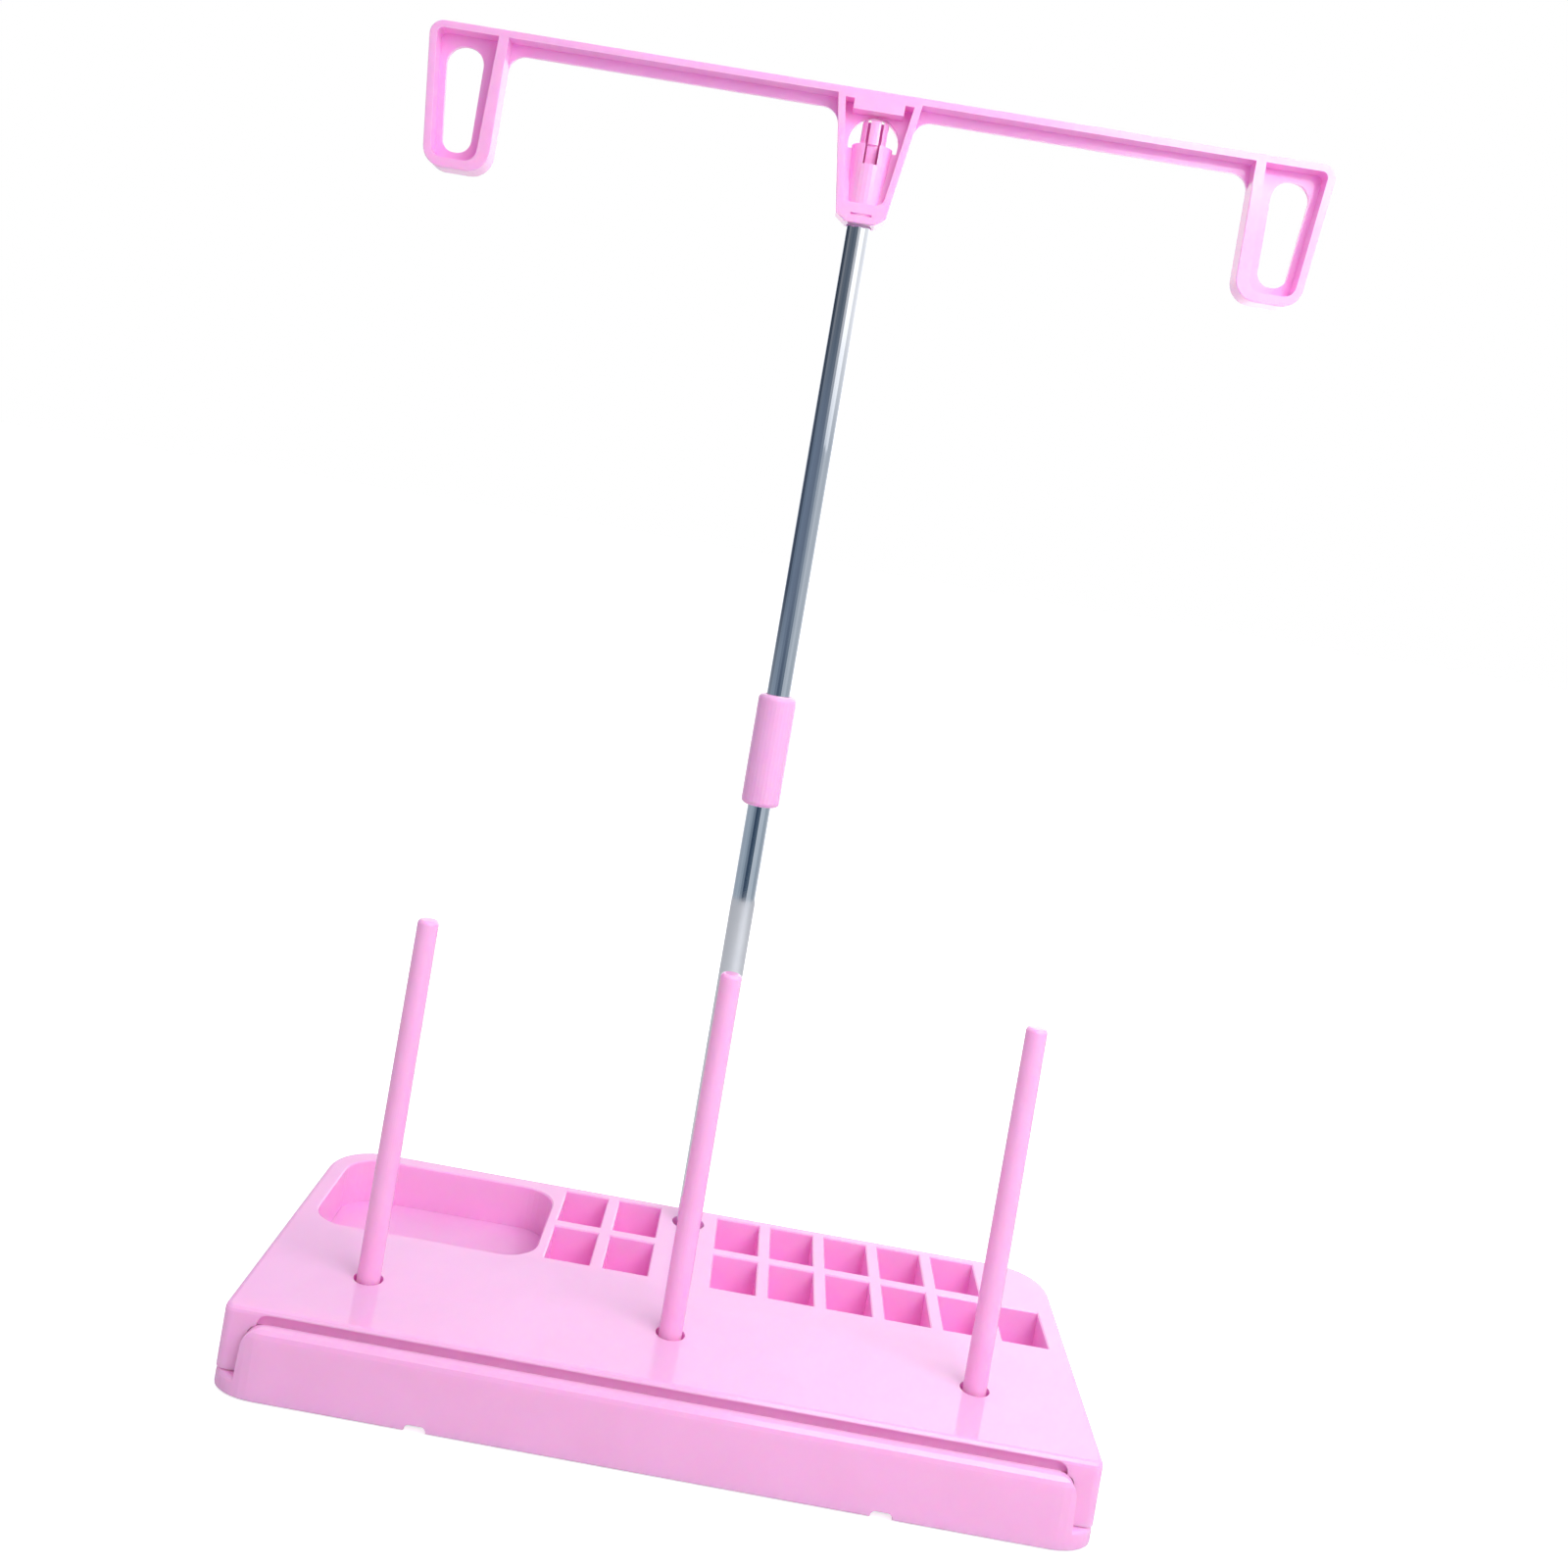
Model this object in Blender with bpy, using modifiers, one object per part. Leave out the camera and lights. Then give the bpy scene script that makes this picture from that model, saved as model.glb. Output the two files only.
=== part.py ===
"""Thread spool stand: a base with a bobbin rack, a tray and a drawer, three spool pins, and a mast.

The mast is two tubes with a sleeve between them. It carries a T-shaped thread guide with an eye at each end.

Units are metres, +Z up. The origin is on the table, under the centre of the stand's outline seen from above.
The front of the stand, with the drawer, faces -Y.
"""

import math

import bmesh
import bpy
from mathutils import Matrix, Vector

# Clearance left between two pieces that touch or slide on each other, and how far a cutter runs past a face.
GAP = 0.0003
OVERRUN = 0.002

# Base shell.
BASE_WIDTH = 0.2412
SHELL_DEPTH = 0.1152
BASE_HEIGHT = 0.023
WALL = 0.003
DECK = 0.0018
REAR_CORNER_RADIUS = 0.016
FRONT_CORNER_RADIUS = 0.0028
EDGE_ROUND = 0.0015
JAMB_WIDTH = 0.0074
JAMB_DEPTH = 0.006
HEADER_HEIGHT = 0.0026
HEADER_SET_BACK = 0.0014
HEADER_LIP = 0.0011
HEADER_END = 0.0022
HEADER_RADIUS = 0.003
DOOR_RADIUS = 0.0026

# Bobbin pockets, each for a bobbin on edge: 20.3 mm across and 11.7 mm thick.
POCKET_WIDTH = 0.0141
POCKET_LENGTH = 0.0231
WELL_DEPTH = 0.014
WELL_WALL = 0.0025
WELL_FLOOR = 0.002
WELL_EDGE = 0.0004
COLUMN_WALL = 0.00405
ROW_WALL = 0.00435
POCKET_REAR_MARGIN = 0.0041
MAST_ISLAND_WIDTH = 0.0196
LEFT_COLUMNS = 2
RIGHT_REAR_COLUMNS = 5
RIGHT_FRONT_COLUMNS = 6

# Tray, at the left of the pockets.
TRAY_LENGTH = 0.051
TRAY_SIDE_MARGIN = 0.006
TRAY_REAR_MARGIN = 0.0066
TRAY_TO_POCKETS = 0.0032
TRAY_CORNER_RADIUS = 0.011

# Spool pins and their sockets.
PIN_FROM_SIDE = 0.0324
PIN_ROW_FROM_FRONT = 0.028
PIN_HEIGHT = 0.105
PIN_FOOT_DIAMETER = 0.0068
PIN_TOP_DIAMETER = 0.0061
PIN_END_ROUND = 0.0012
PIN_MOUTH_DIAMETER = 0.0086
PIN_SOCKET_DEPTH = 0.0115
PIN_SOCKET_FLOOR = 0.001
PIN_BOSS_WALL = 0.0023
MOUTH_DEPTH = 0.003

# Mast: two equal tubes and the sleeve that joins them.
TUBE_DIAMETER = 0.008
TUBE_WALL = 0.0008
TUBE_LENGTH = 0.179
TUBE_EDGE = 0.0002
MAST_FROM_REAR = 0.0117
MAST_MOUTH_DIAMETER = 0.0108
MAST_BOSS_WALL = 0.0032
MAST_BOSS_UNDERSIDE = 0.001
MAST_SOCKET_FLOOR = 0.0015
JOINER_DIAMETER = 0.0129
JOINER_LENGTH = 0.037
JOINER_STOP = 0.002
JOINER_END_ROUND = 0.0018

# Drawer.
FACE_PROUD = 0.0042
FACE_THICKNESS = 0.0034
FACE_OVERLAP = 0.001
FACE_TOP_REVEAL = 0.0031
FACE_TAPER = 0.0008
FACE_TOP_RADIUS = 0.0058
FACE_ROUND = 0.0025
FACE_LAP = 0.0005
LIP_TOP = 0.0053
LIP_CORNER_LENGTH = 0.013
LIP_CORNER_DEPTH = 0.008
LIP_HEEL = 0.007
LIP_ROUND = 0.0011
LIP_FOOT_ROUND = 0.0005
DRAWER_LIFT = 0.0003
DRAWER_FLOOR = 0.002
DRAWER_WALL = 0.0018
DRAWER_FRONT_WALL = 0.0028
DRAWER_SIDE_ROOM = 0.0068
DRAWER_REAR_HEIGHT = 0.0094
BAY_TO_WELLS = 0.0016
RUNNER_REACH = 0.0058
RUNNER_BOTTOM = 0.0032
RUNNER_THICKNESS = 0.002
RIB_HEIGHT = 0.0016
RIB_START = 0.004
TAB_LENGTH = 0.006
TAB_SIDE_CLEARANCE = 0.0006
NOTCH_SPACING = 0.0633
NOTCH_WIDTH = 0.006
NOTCH_HEIGHT = 0.0018
NOTCH_RADIUS = 0.0015
NOTCH_DEPTH = 0.003

# Thread guide: a web with a rim in front of it, hung on a boss round the mast's axis.
GUIDE_WIDTH = 0.300
GUIDE_AHEAD = 0.007
GUIDE_BEHIND = 0.0015
GUIDE_WEB = 0.0016
GUIDE_EDGE = 0.0003
BAR_HEIGHT = 0.0058
BAR_FLANGE = 0.0024
BAR_FILLET = 0.0055
EYE_HEIGHT = 0.0477
EYE_TOP_WIDTH = 0.0266
EYE_BOTTOM_WIDTH = 0.0214
EYE_TOP_RADIUS = 0.0045
EYE_BOTTOM_RADIUS = 0.0072
EYE_RIM = 0.0025
EYE_INNER_RIM = 0.0032
EYE_INNER_RIM_TAPER = 0.0012
EYE_BOTTOM_RIM = 0.0032
EYE_RECESS_RADIUS = 0.0042
EYE_HOLE_DROP = 0.0057
EYE_HOLE_LENGTH = 0.0352
EYE_HOLE_TOP_WIDTH = 0.0132
EYE_HOLE_BOTTOM_WIDTH = 0.0093
EYE_HOLE_TOP_RADIUS = 0.006
EYE_HOLE_BOTTOM_RADIUS = 0.0045
EYE_HOLE_FROM_INNER = 0.0082
YOKE_HEIGHT = 0.0434
YOKE_TOP_WIDTH = 0.0268
YOKE_LOW_WIDTH = 0.0166
YOKE_BOTTOM_WIDTH = 0.010
YOKE_CHAMFER = 0.0026
YOKE_RIM = 0.0024
YOKE_TOP_RIM = 0.0034
YOKE_COLLAR_HEIGHT = 0.0064
YOKE_RECESS_RADIUS = 0.003
YOKE_FLOOR_LEAN = 0.0048
BLOCK_WIDTH = 0.0167
BLOCK_HEIGHT = 0.0068
WINDOW_DROP = 0.0070
WINDOW_TOP_HEIGHT = 0.0088
WINDOW_LOW_HEIGHT = 0.0186
WINDOW_WIDTH = 0.0172
WINDOW_STEP = 0.0004
WINDOW_SILL_DROP = 0.0012
BOSS_DIAMETER = 0.0136
BOSS_TOP_DROP = 0.0172
BOSS_NOTCH_WIDTH = 0.0046
BOSS_NOTCH_DEPTH = 0.0066
TUBE_SEAT_DEPTH = 0.0051
COLLAR_SLOT_WIDTH = 0.007
COLLAR_SLOT_HEIGHT = 0.0007
COLLAR_SLOT_DEPTH = 0.0012
COLLAR_SLOT_RISE = 0.0024

# Plug in the mast's top, whose split prongs hold the guide.
PLUG_STEM_LENGTH = 0.014
PLUG_NECK_DIAMETER = 0.0071
PLUG_HEAD_DIAMETER = 0.0088
PLUG_HEAD_HEIGHT = 0.0084
PLUG_HEAD_ROUND = 0.0012
PLUG_TONGUE_WIDTH = 0.0034
PLUG_SLOT_WIDTH = 0.0009
PLUG_SLOT_DEPTH = 0.0152
PLUG_SLOT_PAST_AXIS = 0.001

# Facets round a full turn, the largest angle between two points of an arc, and steps across a rounded edge.
FACETS = 32
ARC_STEP = math.radians(10)
ROUND_STEPS = 3
SHARP_ANGLE = math.radians(32)
FLAT_ANGLE = math.radians(1)
WELD = 0.00001

# Places worked out from the sizes above.
HALF_WIDTH = BASE_WIDTH / 2
FACE_Y = -(SHELL_DEPTH + FACE_PROUD) / 2
FRONT_Y = FACE_Y + FACE_PROUD
REAR_Y = FRONT_Y + SHELL_DEPTH
LIP_REAR_Y = FACE_Y + LIP_CORNER_DEPTH + LIP_HEEL
DECK_UNDERSIDE = BASE_HEIGHT - DECK
HEADER_BOTTOM = DECK_UNDERSIDE - HEADER_HEIGHT
WELL_BOTTOM = BASE_HEIGHT - WELL_DEPTH
WELL_UNDERSIDE = WELL_BOTTOM - WELL_FLOOR
COLUMN_PITCH = POCKET_WIDTH + COLUMN_WALL
REAR_ROW_Y = REAR_Y - POCKET_REAR_MARGIN - POCKET_LENGTH
FRONT_ROW_Y = REAR_ROW_Y - ROW_WALL - POCKET_LENGTH
POCKETS_LEFT_X = -MAST_ISLAND_WIDTH / 2 - LEFT_COLUMNS * COLUMN_PITCH + COLUMN_WALL
TRAY_LEFT_X = -HALF_WIDTH + TRAY_SIDE_MARGIN
TRAY_RIGHT_X = POCKETS_LEFT_X - TRAY_TO_POCKETS
TRAY_REAR_Y = REAR_Y - TRAY_REAR_MARGIN
TRAY_FRONT_Y = TRAY_REAR_Y - TRAY_LENGTH
BAY_REAR_Y = min(TRAY_FRONT_Y, FRONT_ROW_Y) - WELL_WALL - BAY_TO_WELLS
PIN_SPACING = HALF_WIDTH - PIN_FROM_SIDE
PIN_Y = FRONT_Y + PIN_ROW_FROM_FRONT
PIN_BORE_DIAMETER = PIN_FOOT_DIAMETER + 2 * GAP
PIN_SOCKET_BOTTOM = BASE_HEIGHT - PIN_SOCKET_DEPTH
MAST_Y = REAR_Y - MAST_FROM_REAR
TUBE_BORE_DIAMETER = TUBE_DIAMETER + 2 * GAP
MAST_SOCKET_BOTTOM = MAST_BOSS_UNDERSIDE + MAST_SOCKET_FLOOR
LOWER_TUBE_BOTTOM = MAST_SOCKET_BOTTOM + GAP
LOWER_TUBE_TOP = LOWER_TUBE_BOTTOM + TUBE_LENGTH
JOINER_MIDDLE = LOWER_TUBE_TOP + GAP + JOINER_STOP / 2
UPPER_TUBE_BOTTOM = JOINER_MIDDLE + JOINER_STOP / 2 + GAP
UPPER_TUBE_TOP = UPPER_TUBE_BOTTOM + TUBE_LENGTH
GUIDE_SEAT = UPPER_TUBE_TOP + GAP
GUIDE_BOTTOM = GUIDE_SEAT - TUBE_SEAT_DEPTH
GUIDE_TOP = GUIDE_BOTTOM + YOKE_HEIGHT
GUIDE_FRONT_Y = MAST_Y - GUIDE_AHEAD
GUIDE_REAR_Y = MAST_Y + GUIDE_BEHIND
GUIDE_WEB_Y = GUIDE_REAR_Y - GUIDE_WEB
BAR_BOTTOM = GUIDE_TOP - BAR_HEIGHT
FLANGE_BOTTOM = GUIDE_TOP - BAR_FLANGE
EYE_BOTTOM = GUIDE_TOP - EYE_HEIGHT
EYE_INNER_X = GUIDE_WIDTH / 2 - EYE_TOP_WIDTH
EYE_LOW_X = EYE_INNER_X + EYE_BOTTOM_WIDTH
BOSS_TOP = GUIDE_TOP - BOSS_TOP_DROP
PLUG_TOP = BOSS_TOP + GAP + PLUG_HEAD_HEIGHT
DRAWER_REAR_Y = BAY_REAR_Y - GAP
DRAWER_HALF_WIDTH = HALF_WIDTH - WALL - DRAWER_SIDE_ROOM
DRAWER_FLOOR_TOP = DRAWER_LIFT + DRAWER_FLOOR
DRAWER_TOP = HEADER_BOTTOM - GAP
RIB_BOTTOM = RUNNER_BOTTOM + RUNNER_THICKNESS + GAP
RIB_X = HALF_WIDTH - JAMB_WIDTH - GAP


def new_collection(name):
    collection = bpy.data.collections.new(name)
    bpy.context.scene.collection.children.link(collection)
    return collection


def new_material(name, color, roughness, metallic):
    material = bpy.data.materials.new(name)
    material.use_nodes = True
    shader = material.node_tree.nodes["Principled BSDF"]
    shader.inputs["Base Color"].default_value = (*color, 1.0)
    shader.inputs["Roughness"].default_value = roughness
    shader.inputs["Metallic"].default_value = metallic
    return material


def new_tool(name, mesh):
    """A solid in the tools' collection. It cuts or joins a piece there, or becomes one with as_part."""
    item = bpy.data.objects.new(name, mesh)
    TOOLS.objects.link(item)
    item.hide_render = True
    item.display_type = "WIRE"
    return item


def as_part(item, material, origin):
    """Turns a solid into a piece of the stand, with its origin on the axis of its joint."""
    TOOLS.objects.unlink(item)
    PARTS.objects.link(item)
    item.hide_render = False
    item.display_type = "TEXTURED"
    item.data.transform(Matrix.Translation(origin).inverted() @ item.matrix_world)
    item.matrix_world = Matrix.Translation(origin)
    item.data.materials.append(material)
    return item


def attach(child, parent):
    """Parents a piece to another and leaves it where it is."""
    child.parent = parent
    child.matrix_parent_inverse = Matrix.Translation(parent.matrix_world.translation).inverted()


def combine(item, tool, operation):
    modifier = item.modifiers.new(tool.name, "BOOLEAN")
    modifier.operation = operation
    modifier.object = tool


def join(item, *tools):
    for tool in tools:
        combine(item, tool, "UNION")


def cut(item, *tools):
    for tool in tools:
        combine(item, tool, "DIFFERENCE")


def shade_rounds(mesh):
    """Smooth shading on the rounds, and flat shading on the ends that face along the mesh's own Z."""
    mesh.shade_smooth()
    mesh.set_sharp_from_angle(angle=SHARP_ANGLE)
    for face in mesh.polygons:
        face.use_smooth = abs(face.normal.z) < math.cos(FLAT_ANGLE)


def box(name, low, high):
    """A box between two opposite corners."""
    low, high = Vector(low), Vector(high)
    middle = Matrix.Translation((low + high) / 2)
    scale = Matrix.Diagonal((*(high - low), 1))
    bm = bmesh.new()
    bmesh.ops.create_cube(bm, size=1.0, matrix=middle @ scale)
    mesh = bpy.data.meshes.new(name)
    bm.to_mesh(mesh)
    bm.free()
    return new_tool(name, mesh)


def cylinder(name, x, y, diameter, low, high):
    """An upright cylinder between two heights."""
    bm = bmesh.new()
    bmesh.ops.create_cone(
        bm,
        cap_ends=True,
        segments=FACETS,
        radius1=diameter / 2,
        radius2=diameter / 2,
        depth=high - low,
        matrix=Matrix.Translation((x, y, (low + high) / 2)),
    )
    mesh = bpy.data.meshes.new(name)
    bm.to_mesh(mesh)
    bm.free()
    shade_rounds(mesh)
    return new_tool(name, mesh)


def turned(name, x, y, profile, closed=False):
    """A solid turned round an upright axis from a profile of (radius, height), drawn down its outer side.

    A closed profile makes a ring, and an open one starts and ends on the axis.
    """
    bm = bmesh.new()
    verts = [bm.verts.new((radius, 0, height)) for radius, height in profile]
    for first, second in zip(verts, verts[1:]):
        bm.edges.new((first, second))
    if closed:
        bm.edges.new((verts[-1], verts[0]))
    drawn = bpy.data.meshes.new(name)
    bm.to_mesh(drawn)
    bm.free()
    item = new_tool(name, drawn)
    screw = item.modifiers.new("turn", "SCREW")
    screw.steps = FACETS
    screw.render_steps = FACETS
    screw.use_merge_vertices = True
    screw.merge_threshold = WELD
    mesh = evaluated_mesh(item)
    item.modifiers.clear()
    item.data = mesh
    bpy.data.meshes.remove(drawn)
    shade_rounds(mesh)
    item.location = (x, y, 0)
    bpy.context.view_layer.update()
    return item


def evaluated_mesh(item):
    bpy.context.view_layer.update()
    graph = bpy.context.evaluated_depsgraph_get()
    return bpy.data.meshes.new_from_object(item.evaluated_get(graph))


def slab(name, outline, low, high, upright=False, round_low=0, round_high=0):
    """A flat outline with a thickness: from low to high along Z, or where it stands upright, along Y.

    The edges round its two faces can be rounded, each by its own radius.
    """
    curve = bpy.data.curves.new(name, "CURVE")
    curve.dimensions = "2D"
    curve.fill_mode = "BOTH"
    curve.extrude = (high - low) / 2
    spline = curve.splines.new("POLY")
    spline.points.add(len(outline) - 1)
    for point, place in zip(spline.points, outline):
        point.co = (*place, 0, 1)
    spline.use_cyclic_u = True
    drawn = bpy.data.objects.new(name, curve)
    TOOLS.objects.link(drawn)
    if upright:
        drawn.rotation_euler.x = math.radians(90)
        drawn.location.y = (low + high) / 2
    else:
        drawn.location.z = (low + high) / 2
    mesh = evaluated_mesh(drawn)
    front_face, back_face = (round_low, round_high) if upright else (round_high, round_low)
    bm = bmesh.new()
    bm.from_mesh(mesh)
    bmesh.ops.remove_doubles(bm, verts=bm.verts, dist=WELD)
    bmesh.ops.dissolve_limit(bm, angle_limit=FLAT_ANGLE, verts=bm.verts, edges=bm.edges)
    bmesh.ops.recalc_face_normals(bm, faces=bm.faces)
    for side, radius in ((1, front_face), (-1, back_face)):
        if radius > 0:
            rim = [edge for edge in bm.edges if all(side * vert.co.z > 0 for vert in edge.verts)]
            bmesh.ops.bevel(bm, geom=rim, offset=radius, segments=ROUND_STEPS, profile=0.5, affect="EDGES")
    bm.to_mesh(mesh)
    bm.free()
    shade_rounds(mesh)
    place = drawn.matrix_world.copy()
    bpy.data.objects.remove(drawn, do_unlink=True)
    bpy.data.curves.remove(curve)
    item = new_tool(name, mesh)
    item.matrix_world = place
    return item


def rounded(corners):
    """The points of an outline through corners of (a, b, radius), with an arc of that radius at each."""
    points = []
    for index, (a, b, radius) in enumerate(corners):
        corner = Vector((a, b))
        before = (Vector(corners[index - 1][:2]) - corner).normalized()
        after = (Vector(corners[(index + 1) % len(corners)][:2]) - corner).normalized()
        if radius <= 0:
            points.append(corner)
            continue
        half_angle = before.angle(after) / 2
        centre = corner + (before + after).normalized() * radius / math.sin(half_angle)
        reach = radius / math.tan(half_angle)
        start = corner + before * reach - centre
        end = corner + after * reach - centre
        first = math.atan2(start.y, start.x)
        turn = math.remainder(math.atan2(end.y, end.x) - first, math.tau)
        steps = max(2, math.ceil(abs(turn) / ARC_STEP))
        for step in range(steps + 1):
            angle = first + turn * step / steps
            points.append(centre + radius * Vector((math.cos(angle), math.sin(angle))))
    return points


def mirrored(half):
    """Corners on the right, in order, followed by their images on the left in the opposite order."""
    return half + [(-a, b, radius) for a, b, radius in reversed(half)]


def base_outline():
    """The base shell seen from above."""
    front_corner = (HALF_WIDTH, FRONT_Y, FRONT_CORNER_RADIUS)
    rear_corner = (HALF_WIDTH, REAR_Y, REAR_CORNER_RADIUS)
    return rounded(mirrored([front_corner, rear_corner]))


def lip_outline():
    """The drawer's lip seen from above: its front corners are quarters of an ellipse."""
    corners = []
    steps = math.ceil(math.radians(90) / ARC_STEP)
    for step in range(steps + 1):
        angle = math.radians(90) * step / steps
        x = HALF_WIDTH - LIP_CORNER_LENGTH * (1 - math.sin(angle))
        y = FACE_Y + LIP_CORNER_DEPTH * (1 - math.cos(angle))
        corners.append((x, y, 0))
    corners.append((HALF_WIDTH, LIP_REAR_Y, 0))
    return rounded(mirrored(corners))


def pocket_rows():
    """The rows of pockets: the side of the mast, how many pockets, and where the row starts in Y."""
    return [
        (-1, LEFT_COLUMNS, FRONT_ROW_Y),
        (-1, LEFT_COLUMNS, REAR_ROW_Y),
        (1, RIGHT_FRONT_COLUMNS, FRONT_ROW_Y),
        (1, RIGHT_REAR_COLUMNS, REAR_ROW_Y),
    ]


def well_cutter(name, corners):
    """A solid that cuts a well with a broken edge: straight up to the deck, then growing outwards."""
    straight = slab(name, rounded(corners), WELL_BOTTOM, BASE_HEIGHT - WELL_EDGE)
    bm = bmesh.new()
    bm.from_mesh(straight.data)
    top = max(bm.faces, key=lambda face: face.calc_center_median().z)
    middle = top.calc_center_median()
    grown = bmesh.ops.extrude_face_region(bm, geom=[top])["geom"]
    width = max(vert.co.x - middle.x for vert in top.verts)
    length = max(vert.co.y - middle.y for vert in top.verts)
    bmesh.ops.delete(bm, geom=[top], context="FACES_ONLY")
    rim = [vert for vert in grown if isinstance(vert, bmesh.types.BMVert)]
    for vert in rim:
        vert.co.x += (vert.co.x - middle.x) / width * 2 * WELL_EDGE
        vert.co.y += (vert.co.y - middle.y) / length * 2 * WELL_EDGE
        vert.co.z += 2 * WELL_EDGE
    bm.to_mesh(straight.data)
    bm.free()
    return straight


def pocket_blocks():
    """One block of plastic for each row of pockets, which the pockets are cut from."""
    blocks = []
    for side, count, row_y in pocket_rows():
        near_x = side * (MAST_ISLAND_WIDTH / 2 - WELL_WALL)
        far_x = side * (MAST_ISLAND_WIDTH / 2 + count * COLUMN_PITCH - COLUMN_WALL + WELL_WALL)
        low = (min(near_x, far_x), row_y - WELL_WALL, WELL_UNDERSIDE)
        high = (max(near_x, far_x), row_y + POCKET_LENGTH + WELL_WALL, BASE_HEIGHT - DECK / 2)
        blocks.append(box("pocket_block", low, high))
    return blocks


def pocket_cutters():
    cutters = []
    for side, count, row_y in pocket_rows():
        for column in range(count):
            middle_x = side * (MAST_ISLAND_WIDTH / 2 + column * COLUMN_PITCH + POCKET_WIDTH / 2)
            left, right = middle_x - POCKET_WIDTH / 2, middle_x + POCKET_WIDTH / 2
            rear_y = row_y + POCKET_LENGTH
            corners = [(left, row_y, 0), (right, row_y, 0), (right, rear_y, 0), (left, rear_y, 0)]
            cutters.append(well_cutter("pocket", corners))
    return cutters


def tray_corners(outset):
    left, right = TRAY_LEFT_X - outset, TRAY_RIGHT_X + outset
    front, rear = TRAY_FRONT_Y - outset, TRAY_REAR_Y + outset
    radius = TRAY_CORNER_RADIUS + outset
    return [(left, front, radius), (right, front, radius), (right, rear, radius), (left, rear, radius)]


def socket_cutter(name, x, y, bore, mouth, bottom):
    """A round socket with a wider mouth."""
    top = BASE_HEIGHT + OVERRUN
    step = BASE_HEIGHT - MOUTH_DEPTH
    outer, inner = mouth / 2, bore / 2
    profile = [(0, top), (outer, top), (outer, step), (inner, step), (inner, bottom), (0, bottom)]
    return turned(name, x, y, profile)


def runner(side):
    """The ledge inside a side wall that a rib of the drawer slides on."""
    inner_x = HALF_WIDTH - WALL - RUNNER_REACH
    outer_x = HALF_WIDTH - WALL / 2
    low = (min(side * inner_x, side * outer_x), LIP_REAR_Y + GAP, RUNNER_BOTTOM)
    high = (max(side * inner_x, side * outer_x), BAY_REAR_Y, RUNNER_BOTTOM + RUNNER_THICKNESS)
    return box("runner", low, high)


def base_shell():
    shell = slab("base_shell", base_outline(), 0, BASE_HEIGHT, round_high=EDGE_ROUND)
    inner = HALF_WIDTH - WALL
    inner_radius = REAR_CORNER_RADIUS - WALL
    inner_corners = mirrored([(inner, FRONT_Y + JAMB_DEPTH, 0), (inner, REAR_Y - WALL, inner_radius)])
    door = HALF_WIDTH - JAMB_WIDTH
    door_corners = mirrored([(door, -OVERRUN, 0), (door, HEADER_BOTTOM, DOOR_RADIUS)])
    recess = door - HEADER_END
    recess_corners = mirrored([(recess, LIP_TOP, 0), (recess, BASE_HEIGHT - HEADER_LIP, HEADER_RADIUS)])
    past_jambs = FRONT_Y + JAMB_DEPTH + OVERRUN
    ahead = FRONT_Y - OVERRUN
    header_y = FRONT_Y + HEADER_SET_BACK
    cut(
        shell,
        slab("hollow", rounded(inner_corners), -OVERRUN, DECK_UNDERSIDE),
        slab("doorway", rounded(door_corners), ahead, past_jambs, upright=True),
        slab("header_recess", rounded(recess_corners), ahead, header_y, upright=True),
        box("lip_seat", (-BASE_WIDTH, ahead, -OVERRUN), (BASE_WIDTH, LIP_REAR_Y + GAP, LIP_TOP + GAP)),
    )
    join(shell, *pocket_blocks())
    join(shell, slab("tray_block", rounded(tray_corners(WELL_WALL)), WELL_UNDERSIDE, BASE_HEIGHT - DECK / 2))
    join(shell, runner(-1), runner(1))
    for x in (-PIN_SPACING, 0, PIN_SPACING):
        boss = PIN_BORE_DIAMETER + 2 * PIN_BOSS_WALL
        underside = PIN_SOCKET_BOTTOM - PIN_SOCKET_FLOOR
        join(shell, cylinder("pin_boss", x, PIN_Y, boss, underside, BASE_HEIGHT - DECK / 2))
    mast_boss = TUBE_BORE_DIAMETER + 2 * MAST_BOSS_WALL
    join(shell, cylinder("mast_boss", 0, MAST_Y, mast_boss, MAST_BOSS_UNDERSIDE, BASE_HEIGHT - DECK / 2))
    cut(shell, *pocket_cutters())
    cut(shell, well_cutter("tray", tray_corners(0)))
    pin_socket = (PIN_BORE_DIAMETER, PIN_MOUTH_DIAMETER, PIN_SOCKET_BOTTOM)
    for x in (-PIN_SPACING, 0, PIN_SPACING):
        cut(shell, socket_cutter("pin_socket", x, PIN_Y, *pin_socket))
    mast_socket = (TUBE_BORE_DIAMETER, MAST_MOUTH_DIAMETER, MAST_SOCKET_BOTTOM)
    cut(shell, socket_cutter("mast_socket", 0, MAST_Y, *mast_socket))
    return as_part(shell, PINK_PLASTIC, (0, 0, 0))


def drawer_face():
    """The panel in front of the doorway. Its front turns back at the ends as the lip's does."""
    foot, top = DRAWER_LIFT + LIP_FOOT_ROUND, BASE_HEIGHT - FACE_TOP_REVEAL
    foot_x = HALF_WIDTH - JAMB_WIDTH + FACE_OVERLAP
    corners = mirrored([(foot_x, foot, 0), (foot_x - FACE_TAPER, top, FACE_TOP_RADIUS)])
    face = slab("face", lip_outline(), foot, top, round_high=FACE_ROUND)
    ahead, back_y = FACE_Y - OVERRUN, FACE_Y + FACE_THICKNESS
    combine(face, slab("face_edge", rounded(corners), ahead, back_y, upright=True), "INTERSECT")
    return face


def drawer_front_wall(start_y, rear_y):
    """The wall behind the panel, which fills the doorway."""
    corners = mirrored([(RIB_X, DRAWER_LIFT, 0), (RIB_X, DRAWER_TOP, DOOR_RADIUS - GAP)])
    return slab("front_wall", rounded(corners), start_y, rear_y, upright=True)


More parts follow.
